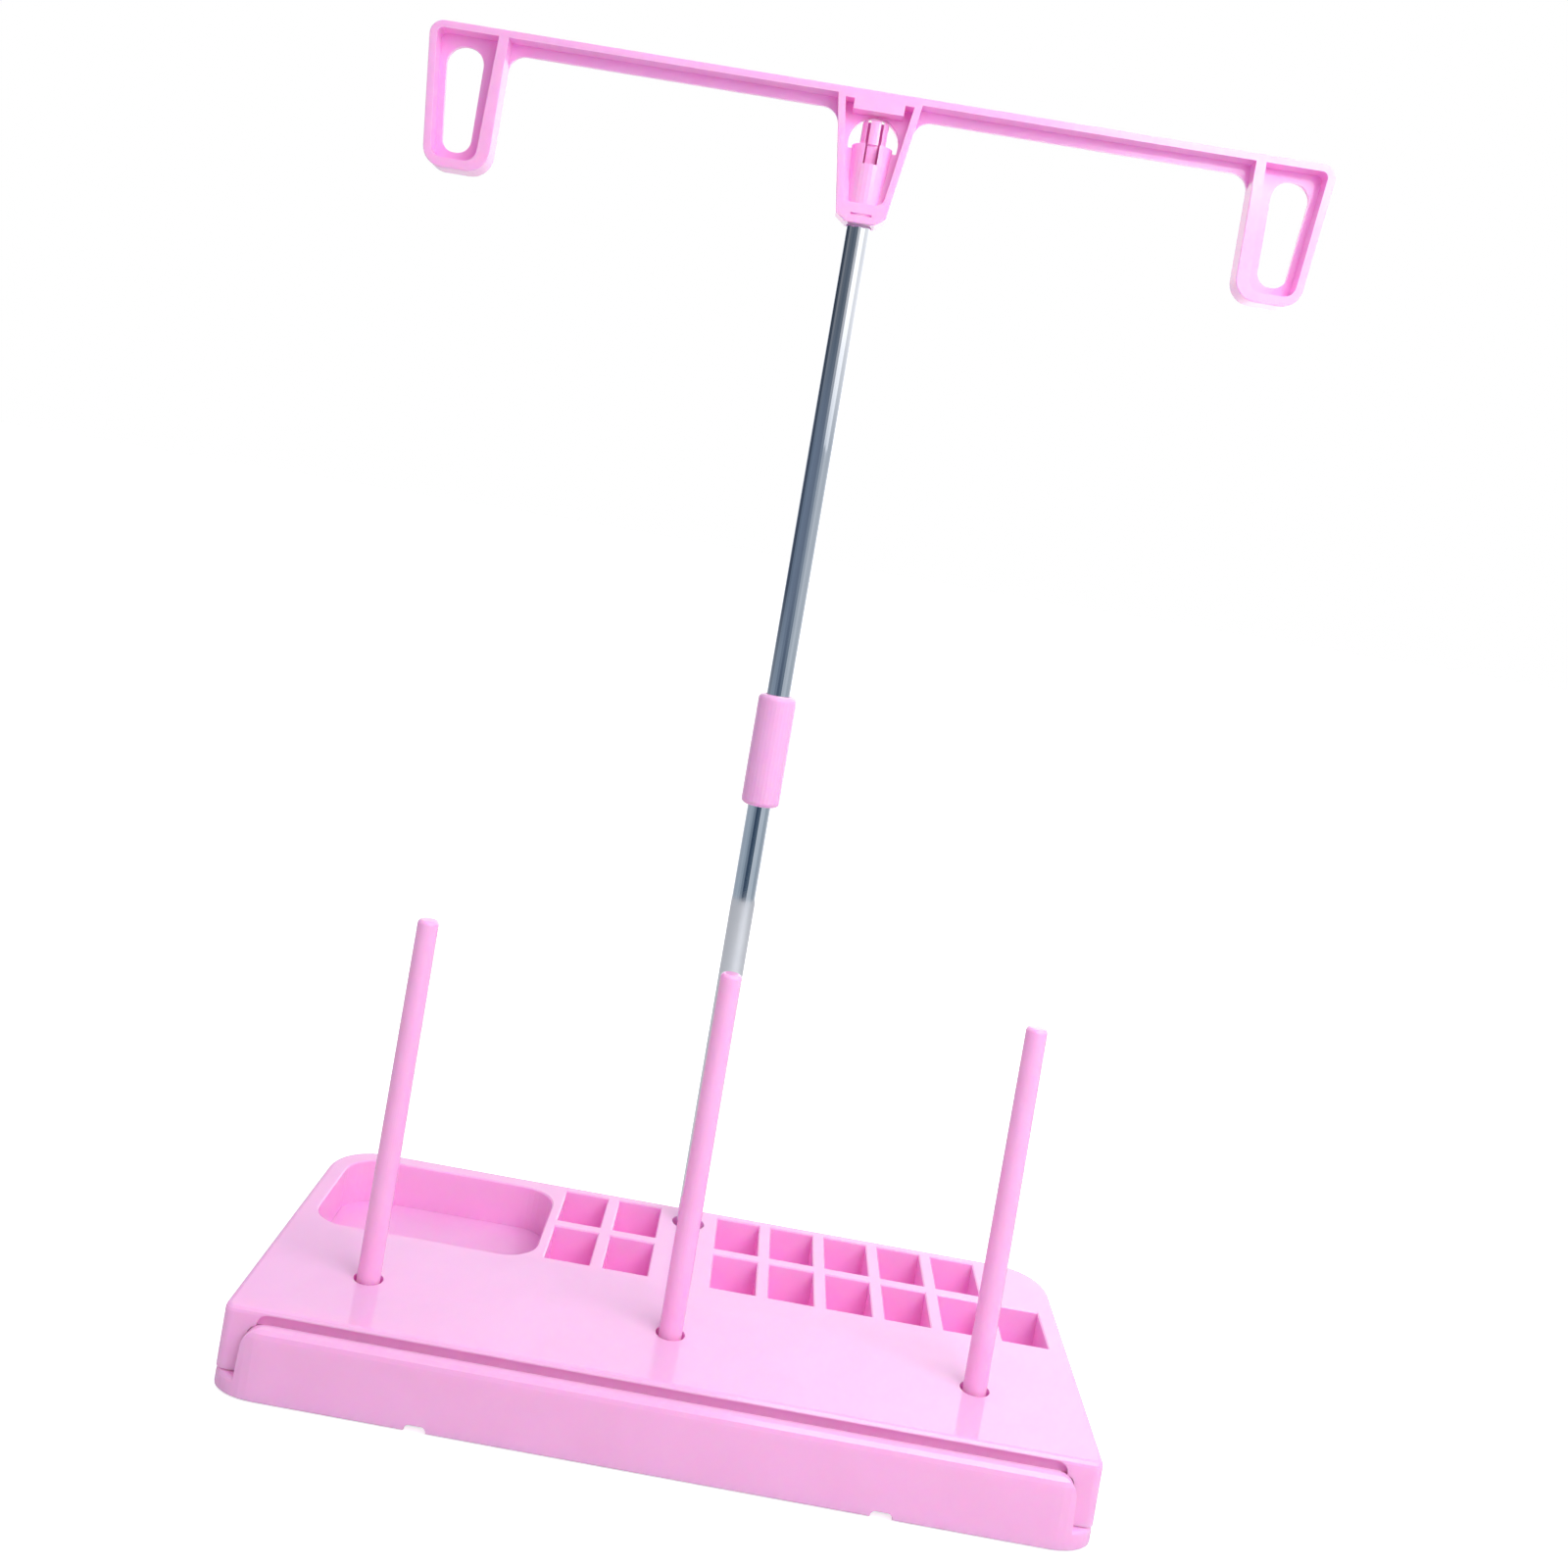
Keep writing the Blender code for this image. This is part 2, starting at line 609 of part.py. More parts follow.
def drawer_side_fittings(side):
    """The rib that slides on a runner, and behind it the tab that stops the drawer at the jamb."""
    inner_x = DRAWER_HALF_WIDTH - DRAWER_WALL / 2
    tab_x = HALF_WIDTH - WALL - TAB_SIDE_CLEARANCE
    fittings = []
    for name, outer_x, start_y, top in (
        ("rib", RIB_X, FRONT_Y + RIB_START, RIB_BOTTOM + RIB_HEIGHT),
        ("tab", tab_x, DRAWER_REAR_Y - TAB_LENGTH, DRAWER_TOP),
    ):
        low = (min(side * inner_x, side * outer_x), start_y, RIB_BOTTOM)
        high = (max(side * inner_x, side * outer_x), DRAWER_REAR_Y, top)
        fittings.append(box(name, low, high))
    return fittings


def notch_cutter(x):
    """A finger notch in the bottom edge of the drawer's front."""
    half = NOTCH_WIDTH / 2
    corners = [
        (x + half, DRAWER_LIFT - OVERRUN, 0),
        (x + half, DRAWER_LIFT + NOTCH_HEIGHT, NOTCH_RADIUS),
        (x - half, DRAWER_LIFT + NOTCH_HEIGHT, NOTCH_RADIUS),
        (x - half, DRAWER_LIFT - OVERRUN, 0),
    ]
    return slab("notch", rounded(corners), FACE_Y - OVERRUN, FACE_Y + NOTCH_DEPTH, upright=True)


def drawer():
    rounds = {"round_low": LIP_FOOT_ROUND, "round_high": LIP_ROUND}
    lip = slab("drawer", lip_outline(), DRAWER_LIFT, LIP_TOP, **rounds)
    side_x = DRAWER_HALF_WIDTH
    inside_x = DRAWER_HALF_WIDTH - DRAWER_WALL
    front_wall_y = FACE_Y + FACE_THICKNESS + DRAWER_FRONT_WALL
    rear_wall_y = DRAWER_REAR_Y - DRAWER_WALL
    past_rear_y = DRAWER_REAR_Y + OVERRUN
    rear_top = DRAWER_LIFT + DRAWER_REAR_HEIGHT
    in_face_y = FACE_Y + FACE_THICKNESS - FACE_LAP
    above = DRAWER_TOP + OVERRUN
    join(lip, box("bin", (-side_x, in_face_y, DRAWER_LIFT), (side_x, DRAWER_REAR_Y, DRAWER_TOP)))
    join(lip, drawer_front_wall(in_face_y, front_wall_y))
    join(lip, drawer_face())
    for side in (-1, 1):
        join(lip, *drawer_side_fittings(side))
    cut(
        lip,
        box("inside", (-inside_x, front_wall_y, DRAWER_FLOOR_TOP), (inside_x, rear_wall_y, above)),
        box("low_rear", (-inside_x, rear_wall_y - OVERRUN, rear_top), (inside_x, past_rear_y, above)),
        notch_cutter(-NOTCH_SPACING),
        notch_cutter(NOTCH_SPACING),
    )
    return as_part(lip, PINK_PLASTIC, (0, FRONT_Y, DRAWER_LIFT))


def spool_pin(name, x):
    bottom = PIN_SOCKET_BOTTOM + GAP
    top = BASE_HEIGHT + PIN_HEIGHT
    foot = PIN_FOOT_DIAMETER / 2
    end = PIN_TOP_DIAMETER / 2
    shaft = [(foot, BASE_HEIGHT), (foot, bottom), (0, bottom)]
    head = rounded([(0, top, 0), (end, top, PIN_END_ROUND), (foot, BASE_HEIGHT, 0)])
    pin = turned(name, x, PIN_Y, [tuple(point) for point in head[:-1]] + shaft)
    return as_part(pin, PINK_PLASTIC, (x, PIN_Y, BASE_HEIGHT))


def tube(name, bottom):
    """A length of chromed tube with its edges just broken."""
    outer = TUBE_DIAMETER / 2
    inner = outer - TUBE_WALL
    top = bottom + TUBE_LENGTH
    profile = [
        (outer - TUBE_EDGE, top),
        (outer, top - TUBE_EDGE),
        (outer, bottom + TUBE_EDGE),
        (outer - TUBE_EDGE, bottom),
        (inner, bottom),
        (inner, top),
    ]
    return as_part(turned(name, 0, MAST_Y, profile, closed=True), CHROME, (0, MAST_Y, bottom))


def tube_joiner():
    """The sleeve between the tubes, with a ring inside that both tubes stop at."""
    outer = JOINER_DIAMETER / 2
    bore = TUBE_BORE_DIAMETER / 2
    stop = TUBE_DIAMETER / 2 - TUBE_WALL
    low, high = JOINER_MIDDLE - JOINER_LENGTH / 2, JOINER_MIDDLE + JOINER_LENGTH / 2
    stop_low, stop_high = JOINER_MIDDLE - JOINER_STOP / 2, JOINER_MIDDLE + JOINER_STOP / 2
    corners = [
        (bore, high, 0),
        (outer, high, JOINER_END_ROUND),
        (outer, low, JOINER_END_ROUND),
        (bore, low, 0),
        (bore, stop_low, 0),
        (stop, stop_low, 0),
        (stop, stop_high, 0),
        (bore, stop_high, 0),
    ]
    sleeve = turned("tube_joiner", 0, MAST_Y, rounded(corners), closed=True)
    return as_part(sleeve, PINK_PLASTIC, (0, MAST_Y, JOINER_MIDDLE))


def guide_plug():
    """The plug in the top of the upper tube. Its head, split by two slots in front, clips over the boss."""
    stem = TUBE_DIAMETER / 2 - TUBE_WALL - GAP
    neck = PLUG_NECK_DIAMETER / 2
    head = PLUG_HEAD_DIAMETER / 2
    corners = [
        (0, PLUG_TOP, 0),
        (head, PLUG_TOP, PLUG_HEAD_ROUND),
        (head, BOSS_TOP + GAP, 0),
        (neck, BOSS_TOP + GAP, 0),
        (neck, UPPER_TUBE_TOP + GAP, 0),
        (stem, UPPER_TUBE_TOP + GAP, 0),
        (stem, UPPER_TUBE_TOP - PLUG_STEM_LENGTH, 0),
        (0, UPPER_TUBE_TOP - PLUG_STEM_LENGTH, 0),
    ]
    plug = turned("guide_plug", 0, MAST_Y, rounded(corners))
    for side in (-1, 1):
        near_x = side * PLUG_TONGUE_WIDTH / 2
        far_x = near_x + side * PLUG_SLOT_WIDTH
        low = (min(near_x, far_x), MAST_Y - PLUG_HEAD_DIAMETER, PLUG_TOP - PLUG_SLOT_DEPTH)
        high = (max(near_x, far_x), MAST_Y + PLUG_SLOT_PAST_AXIS, PLUG_TOP + OVERRUN)
        cut(plug, box("plug_slot", low, high))
    return as_part(plug, PINK_PLASTIC, (0, MAST_Y, UPPER_TUBE_TOP))


def yoke_x(height):
    """Half the yoke's width at a height above its chamfer: its sides lean outwards."""
    low = GUIDE_BOTTOM + YOKE_CHAMFER
    share = (height - low) / (BAR_BOTTOM - low)
    return (YOKE_LOW_WIDTH + share * (YOKE_TOP_WIDTH - YOKE_LOW_WIDTH)) / 2


def eye_outer_x(height):
    """Where the outer side of an eye lies at a height: it leans inwards below the bar."""
    share = (GUIDE_TOP - height) / EYE_HEIGHT
    return GUIDE_WIDTH / 2 + share * (EYE_LOW_X - GUIDE_WIDTH / 2)


def guide_outline():
    return rounded(
        mirrored(
            [
                (YOKE_BOTTOM_WIDTH / 2, GUIDE_BOTTOM, 0),
                (YOKE_LOW_WIDTH / 2, GUIDE_BOTTOM + YOKE_CHAMFER, 0),
                (YOKE_TOP_WIDTH / 2, BAR_BOTTOM, BAR_FILLET),
                (EYE_INNER_X, BAR_BOTTOM, BAR_FILLET),
                (EYE_INNER_X, EYE_BOTTOM, EYE_BOTTOM_RADIUS),
                (EYE_LOW_X, EYE_BOTTOM, EYE_BOTTOM_RADIUS),
                (GUIDE_WIDTH / 2, GUIDE_TOP, EYE_TOP_RADIUS),
            ]
        )
    )


def on_side(side, corners):
    """Corners drawn on the right, or their images on the left."""
    return corners if side > 0 else [(-a, b, radius) for a, b, radius in reversed(corners)]


def guide_recess(name, corners):
    """A recess from the guide's front down to its web."""
    return slab(name, rounded(corners), GUIDE_FRONT_Y - OVERRUN, GUIDE_WEB_Y, upright=True)


def bar_recess(side):
    """The space under the bar's flange, from the yoke to an eye, in front of the web and its fillets."""
    low = BAR_BOTTOM - 2 * BAR_FILLET
    corners = [
        (yoke_x(low), low, 0),
        (EYE_INNER_X, low, 0),
        (EYE_INNER_X, FLANGE_BOTTOM, 0),
        (yoke_x(FLANGE_BOTTOM), FLANGE_BOTTOM, 0),
    ]
    return guide_recess("bar_recess", on_side(side, corners))


def eye_recess(side):
    low = EYE_BOTTOM + EYE_BOTTOM_RIM
    inner_low_x = EYE_INNER_X + EYE_INNER_RIM + EYE_INNER_RIM_TAPER
    corners = [
        (inner_low_x, low, EYE_RECESS_RADIUS),
        (eye_outer_x(low) - EYE_RIM, low, EYE_RECESS_RADIUS),
        (eye_outer_x(FLANGE_BOTTOM) - EYE_RIM, FLANGE_BOTTOM, EYE_TOP_RADIUS - EYE_RIM),
        (EYE_INNER_X + EYE_INNER_RIM, FLANGE_BOTTOM, 0),
    ]
    return guide_recess("eye_recess", on_side(side, corners))


def eye_hole(side):
    """The hole that the thread runs through."""
    inner_x = EYE_INNER_X + EYE_HOLE_FROM_INNER
    top = GUIDE_TOP - EYE_HOLE_DROP
    low = top - EYE_HOLE_LENGTH
    corners = [
        (inner_x, low, EYE_HOLE_BOTTOM_RADIUS),
        (inner_x + EYE_HOLE_BOTTOM_WIDTH, low, EYE_HOLE_BOTTOM_RADIUS),
        (inner_x + EYE_HOLE_TOP_WIDTH, top, EYE_HOLE_TOP_RADIUS),
        (inner_x, top, EYE_HOLE_TOP_RADIUS),
    ]
    front, rear = GUIDE_WEB_Y - OVERRUN, GUIDE_REAR_Y + OVERRUN
    return slab("eye_hole", rounded(on_side(side, corners)), front, rear, upright=True)


def lean_floor(recess):
    """Slopes the floor of a recess in the yoke, so that it comes forward to the collar."""
    top = GUIDE_TOP - YOKE_TOP_RIM
    low = GUIDE_BOTTOM + YOKE_COLLAR_HEIGHT
    for vert in recess.data.vertices:
        if vert.co.z < 0:
            vert.co.z += YOKE_FLOOR_LEAN * (top - vert.co.y) / (top - low)
    return recess


def yoke_recess():
    """The yoke's recess, round the block that hangs from its top."""
    top = GUIDE_TOP - YOKE_TOP_RIM
    low = GUIDE_BOTTOM + YOKE_COLLAR_HEIGHT
    block = BLOCK_WIDTH / 2
    recess = guide_recess(
        "yoke_recess",
        mirrored(
            [
                (yoke_x(low) - YOKE_RIM, low, YOKE_RECESS_RADIUS),
                (yoke_x(top) - YOKE_RIM, top, 0),
                (block, top, 0),
                (block, GUIDE_TOP - BLOCK_HEIGHT, 0),
            ]
        ),
    )
    return lean_floor(recess)


def window_outline(inset, sill):
    """The egg shape of the window down to a sill: half an ellipse above its widest line, a longer below."""
    widest = GUIDE_TOP - WINDOW_DROP - WINDOW_TOP_HEIGHT
    points = []
    for step in range(FACETS):
        angle = math.tau * step / FACETS
        height = WINDOW_TOP_HEIGHT if angle < math.pi else WINDOW_LOW_HEIGHT
        place = max(sill, widest + (height - inset) * math.sin(angle))
        points.append(((WINDOW_WIDTH / 2 - inset) * math.cos(angle), place))
    return points


def thread_guide():
    guide = slab(
        "thread_guide",
        guide_outline(),
        GUIDE_FRONT_Y,
        GUIDE_REAR_Y,
        upright=True,
        round_low=GUIDE_EDGE,
        round_high=GUIDE_EDGE,
    )
    for side in (-1, 1):
        cut(guide, bar_recess(side), eye_recess(side), eye_hole(side))
    cut(guide, yoke_recess())
    ahead = GUIDE_FRONT_Y - OVERRUN
    behind = GUIDE_REAR_Y + OVERRUN
    slot = COLLAR_SLOT_WIDTH / 2
    slot_low = GUIDE_BOTTOM + COLLAR_SLOT_RISE
    slot_top = slot_low + COLLAR_SLOT_HEIGHT
    slot_back_y = GUIDE_FRONT_Y + COLLAR_SLOT_DEPTH
    cut(guide, box("collar_slot", (-slot, ahead, slot_low), (slot, slot_back_y, slot_top)))
    egg = window_outline(0, GUIDE_BOTTOM)
    cut(guide, lean_floor(slab("window_step", egg, ahead, GUIDE_WEB_Y + WINDOW_STEP, upright=True)))
    opening = window_outline(WINDOW_STEP, BOSS_TOP - WINDOW_SILL_DROP)
    cut(guide, slab("window", opening, ahead, behind, upright=True))
    boss, collar = BOSS_DIAMETER / 2, YOKE_BOTTOM_WIDTH / 2
    corner = GUIDE_BOTTOM + YOKE_CHAMFER
    profile = [(0, BOSS_TOP), (boss, BOSS_TOP), (boss, corner), (collar, GUIDE_BOTTOM), (0, GUIDE_BOTTOM)]
    join(guide, turned("guide_boss", 0, MAST_Y, profile))
    bore = PLUG_NECK_DIAMETER / 2 + GAP
    seat = TUBE_BORE_DIAMETER / 2
    above, below = BOSS_TOP + OVERRUN, GUIDE_BOTTOM - OVERRUN
    profile = [(0, above), (bore, above), (bore, GUIDE_SEAT), (seat, GUIDE_SEAT), (seat, below), (0, below)]
    cut(guide, turned("guide_bore", 0, MAST_Y, profile))
    notch = BOSS_NOTCH_WIDTH / 2
    cut(guide, box("boss_notch", (-notch, ahead, BOSS_TOP - BOSS_NOTCH_DEPTH), (notch, MAST_Y, above)))
    return as_part(guide, PINK_PLASTIC, (0, MAST_Y, GUIDE_BOTTOM))


def build():
    shell = base_shell()
    attach(drawer(), shell)
    for name, x in (("left", -PIN_SPACING), ("middle", 0), ("right", PIN_SPACING)):
        attach(spool_pin("spool_pin_" + name, x), shell)
    lower = tube("lower_tube", LOWER_TUBE_BOTTOM)
    upper = tube("upper_tube", UPPER_TUBE_BOTTOM)
    attach(lower, shell)
    attach(tube_joiner(), lower)
    attach(upper, lower)
    attach(guide_plug(), upper)
    attach(thread_guide(), upper)


for leftover in list(bpy.data.objects):
    bpy.data.objects.remove(leftover, do_unlink=True)
PARTS = new_collection("thread_spool_stand")
TOOLS = new_collection("tools")
PINK_PLASTIC = new_material("pink_gloss_plastic", (0.87, 0.44, 0.78), 0.28, 0.0)
CHROME = new_material("chrome", (0.78, 0.80, 0.84), 0.08, 1.0)
build()
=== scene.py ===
"""The thread spool stand as photographed: pink gloss plastic and a chromed mast on a white table.

Lengths are in metres, angles in radians and powers in watts, unless a name says otherwise.
"""

import math

import bpy
from mathutils import Matrix, Vector


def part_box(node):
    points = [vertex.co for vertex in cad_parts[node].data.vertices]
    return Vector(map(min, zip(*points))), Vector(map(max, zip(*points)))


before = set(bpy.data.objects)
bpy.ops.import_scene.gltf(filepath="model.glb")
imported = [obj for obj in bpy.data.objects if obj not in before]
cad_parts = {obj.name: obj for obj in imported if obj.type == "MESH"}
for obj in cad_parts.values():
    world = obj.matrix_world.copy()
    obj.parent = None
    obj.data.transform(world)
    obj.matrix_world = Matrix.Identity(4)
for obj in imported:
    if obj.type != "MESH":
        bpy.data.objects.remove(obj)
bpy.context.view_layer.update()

WHITE = (1, 1, 1, 1)

# The camera, as the photograph was taken: its place, where it looks, and its picture's roll.
IMAGE_WIDTH = 1600
FOCAL_PIXELS = 1642.73
PRINCIPAL_POINT_PIXELS = (772.88, 573.68)
SENSOR_MM = 36.0
CAMERA_PLACE = Vector((-0.00210, -0.48563, 0.25142))
CAMERA_YAW = -0.0229
CAMERA_PITCH = 0.0141
CAMERA_ROLL = 0.1693
CAMERA_CLIP = (0.01, 100)

# How brightly the world lights the object: from in front, and from above and behind. In between, the light grows
# with the cosine of the angle to TOP_DIRECTION, from FRONT_COSINE up.
FRONT_LIGHT = 0.38
TOP_LIGHT = 0.86
TOP_DIRECTION = Vector((0, 0.5, 0.8)).normalized()
FRONT_COSINE = -0.5
ROOM_COLOR = (0.97, 0.98, 1.0, 1)

# The soft lamps: place, target, width and height, and power.
LAMPS = {
    "key": ((0.33, -0.38, 0.58), (0.05, 0, 0.2), (0.5, 0.5), 3.3),
    "upper": ((0.25, -0.15, 0.45), (0.14, 0.045, 0.38), (0.3, 0.3), 0.09),
    "front": ((0.3, -1.6, 0.6), (0, 0, 0.1), (1.2, 0.8), 1.5),
}

# The floor: its colour and gloss, the glow that only the camera sees, half its width, and its gap below the base.
FLOOR_COLOR = (0.66, 0.66, 0.67, 1)
FLOOR_ROUGHNESS = 0.6
FLOOR_GLOW = 0.75
FLOOR_REACH = 30
FLOOR_GAP = 0.0002

# The ring of studio walls, and the strength of its glow against plain white.
WALL_RADIUS = 0.6
WALL_HEIGHT = 0.7
WALL_SIDES = 64
WALL_PEAK = 2.4

# Tones round the walls against plain white. Places 0 and 1 are behind the stand, 0.25 is to its left, 0.5 is by the
# camera and 0.75 is to its right. All heights have the same tones behind the stand.
WALL_BEHIND_LEFT = [
    (0.00, (1.50, 1.50, 1.52)),
    (0.07, (1.15, 1.15, 1.17)),
]
WALL_BEHIND_RIGHT = [
    (0.93, (2.10, 2.10, 2.14)),
    (1.00, (1.50, 1.50, 1.52)),
]
WALL_LOW = [
    *WALL_BEHIND_LEFT,
    (0.11, (0.50, 0.54, 0.58)),
    (0.18, (0.34, 0.40, 0.47)),
    (0.30, (0.38, 0.45, 0.52)),
    (0.38, (0.26, 0.33, 0.40)),
    (0.46, (0.05, 0.08, 0.13)),
    (0.51, (0.03, 0.06, 0.10)),
    (0.55, (0.12, 0.17, 0.23)),
    (0.60, (0.56, 0.62, 0.68)),
    (0.66, (0.48, 0.55, 0.61)),
    (0.74, (0.30, 0.36, 0.42)),
    (0.81, (0.44, 0.49, 0.53)),
    (0.88, (1.10, 1.12, 1.15)),
    *WALL_BEHIND_RIGHT,
]
WALL_MIDDLE = [
    *WALL_BEHIND_LEFT,
    (0.11, (0.26, 0.31, 0.37)),
    (0.16, (0.05, 0.07, 0.11)),
    (0.23, (0.06, 0.08, 0.12)),
    (0.29, (0.15, 0.20, 0.27)),
    (0.36, (0.17, 0.22, 0.30)),
    (0.46, (0.14, 0.18, 0.25)),
    (0.52, (0.17, 0.22, 0.29)),
    (0.58, (0.36, 0.41, 0.47)),
    (0.66, (0.52, 0.57, 0.62)),
    (0.76, (0.44, 0.49, 0.54)),
    (0.83, (0.52, 0.56, 0.60)),
    (0.88, (1.10, 1.12, 1.15)),
    *WALL_BEHIND_RIGHT,
]
WALL_HIGH = [
    *WALL_BEHIND_LEFT,
    (0.11, (0.28, 0.33, 0.39)),
    (0.15, (0.02, 0.03, 0.05)),
    (0.22, (0.06, 0.08, 0.11)),
    (0.29, (0.22, 0.24, 0.27)),
    (0.37, (0.08, 0.11, 0.15)),
    (0.47, (0.14, 0.17, 0.21)),
    (0.51, (0.32, 0.34, 0.38)),
    (0.57, (1.00, 1.00, 1.00)),
    (0.65, (1.00, 1.00, 1.00)),
    (0.75, (0.85, 0.86, 0.88)),
    (0.86, (1.20, 1.20, 1.22)),
    *WALL_BEHIND_RIGHT,
]
# The tones above the low ones, and the shares of the walls' height between which they fade in.
WALL_FADES = [(WALL_MIDDLE, 0.12, 0.32), (WALL_HIGH, 0.46, 0.60)]

# The pink plastic in the open and with painted shade in deep recesses, and its range of roughness.
PINK_OPEN = (1.0, 0.475, 0.80)
PINK_PAINTED_SHADE = (1.0, 0.45, 0.84)
PINK_ROUGHNESS = (0.05, 0.14)
# The painted shade and painted glow of the recesses follow the share of nearby space that is open, within this
# reach: up to DEEP they are at their strongest.
RECESS_REACH = 0.016
RECESS_SAMPLES = 6
DEEP = 0.25
OPEN = 0.85
# A painted glow in the deep recesses, faint at its strongest, and gone where the open share reaches the end value
# below.
PAINTED_GLOW_COLOR = (1.0, 0.10, 0.45, 1)
PAINTED_GLOW_STRENGTH = 0.05
PAINTED_GLOW_END = 0.75
# The tone of the flow marks against the plain plastic.
FLOW_MARK = 0.965

# The nodes that are chromed, the chrome's tints, its range of roughness, and how much its lines are drawn out.
CHROME_NODES = ("lower_tube", "upper_tube")
CHROME_DULL = (0.76, 0.78, 0.83)
CHROME_BRIGHT = (0.80, 0.82, 0.86)
CHROME_ROUGHNESS = (0.03, 0.10)
DRAWN_OUT = (1.0, 1.0, 0.02)


def add_object(name, data):
    thing = bpy.data.objects.new(name, data)
    bpy.context.scene.collection.objects.link(thing)
    return thing


def add_mesh(name, points, faces, material):
    mesh = bpy.data.meshes.new(name)
    mesh.from_pydata(points, [], faces)
    mesh.materials.append(material)
    return add_object(name, mesh)


def aim_camera():
    forward = Vector((
        math.sin(CAMERA_YAW) * math.cos(CAMERA_PITCH),
        math.cos(CAMERA_YAW) * math.cos(CAMERA_PITCH),
        -math.sin(CAMERA_PITCH),
    ))
    right = forward.cross(Vector((0, 0, 1))).normalized()
    up = right.cross(forward)
    across = math.cos(CAMERA_ROLL) * right + math.sin(CAMERA_ROLL) * up
    upward = -math.sin(CAMERA_ROLL) * right + math.cos(CAMERA_ROLL) * up
    data = bpy.data.cameras.new("camera")
    data.sensor_width = SENSOR_MM
    data.lens = FOCAL_PIXELS / IMAGE_WIDTH * SENSOR_MM
    data.shift_x = 0.5 - PRINCIPAL_POINT_PIXELS[0] / IMAGE_WIDTH
    data.shift_y = PRINCIPAL_POINT_PIXELS[1] / IMAGE_WIDTH - 0.5
    data.clip_start, data.clip_end = CAMERA_CLIP
    camera = add_object("camera", data)
    turn = Matrix((across, upward, -forward)).transposed().to_4x4()
    camera.matrix_world = Matrix.Translation(CAMERA_PLACE) @ turn
    bpy.context.scene.camera = camera


def area_light(name, place, target, size, power):
    data = bpy.data.lights.new(name, "AREA")
    data.shape = "RECTANGLE"
    data.size, data.size_y = size
    data.energy = power
    light = add_object(name, data)
    light.location = place
    light.rotation_euler = (Vector(target) - Vector(place)).to_track_quat("-Z", "Y").to_euler()


class Nodes:
    """Short ways to fill the node tree of one material or world, which starts out empty."""

    def __init__(self, owner):
        owner.use_nodes = True
        self.tree = owner.node_tree
        self.tree.nodes.clear()

    def fill(self, node, inputs):
        """Give inputs of a node, by name or number, a value or a link from an output."""
        for key, value in inputs.items():
            socket = node.inputs[key]
            if isinstance(value, bpy.types.NodeSocket):
                self.tree.links.new(value, socket)
            else:
                socket.default_value = value

    def add(self, kind, inputs=None, **settings):
        node = self.tree.nodes.new(kind)
        for key, value in settings.items():
            setattr(node, key, value)
        self.fill(node, inputs or {})
        return node

    def math(self, operation, first, second):
        return self.add("ShaderNodeMath", {0: first, 1: second}, operation=operation).outputs[0]

    def mix(self, share, first, second, blend_type="MIX"):
        inputs = {"Factor": share, "A": first, "B": second}
        return self.add("ShaderNodeMix", inputs, data_type="RGBA", blend_type=blend_type).outputs["Result"]

    def spread(self, value, low, high, start=0.0, end=1.0):
        """The value, held within start and end, as a number from low to high."""
        inputs = {"Value": value, "From Min": start, "From Max": end, "To Min": low, "To Max": high}
        return self.add("ShaderNodeMapRange", inputs).outputs["Result"]

    def ramp(self, factor, stops):
        """A map from 0..1 to colours. Each stop is a place and a grey or a colour."""
        node = self.add("ShaderNodeValToRGB", {"Fac": factor})
        elements = node.color_ramp.elements
        while len(elements) < len(stops):
            elements.new(0.5)
        for element, (place, value) in zip(elements, stops):
            element.position = place
            color = value if isinstance(value, tuple) else (value, value, value)
            element.color = (*color, 1)
        return node.outputs["Color"]

    def noise(self, place, scale, detail, distortion=0.0):
        inputs = {"Vector": place, "Scale": scale, "Detail": detail, "Distortion": distortion}
        return self.add("ShaderNodeTexNoise", inputs).outputs["Fac"]

    def bump(self, height, strength, depth):
        inputs = {"Height": height, "Strength": strength, "Distance": depth}
        return self.add("ShaderNodeBump", inputs).outputs["Normal"]


def new_material(name):
    material = bpy.data.materials.new(name)
    nodes = Nodes(material)
    shader = nodes.add("ShaderNodeBsdfPrincipled")
    nodes.add("ShaderNodeOutputMaterial", {"Surface": shader.outputs["BSDF"]})
    return material, nodes, shader


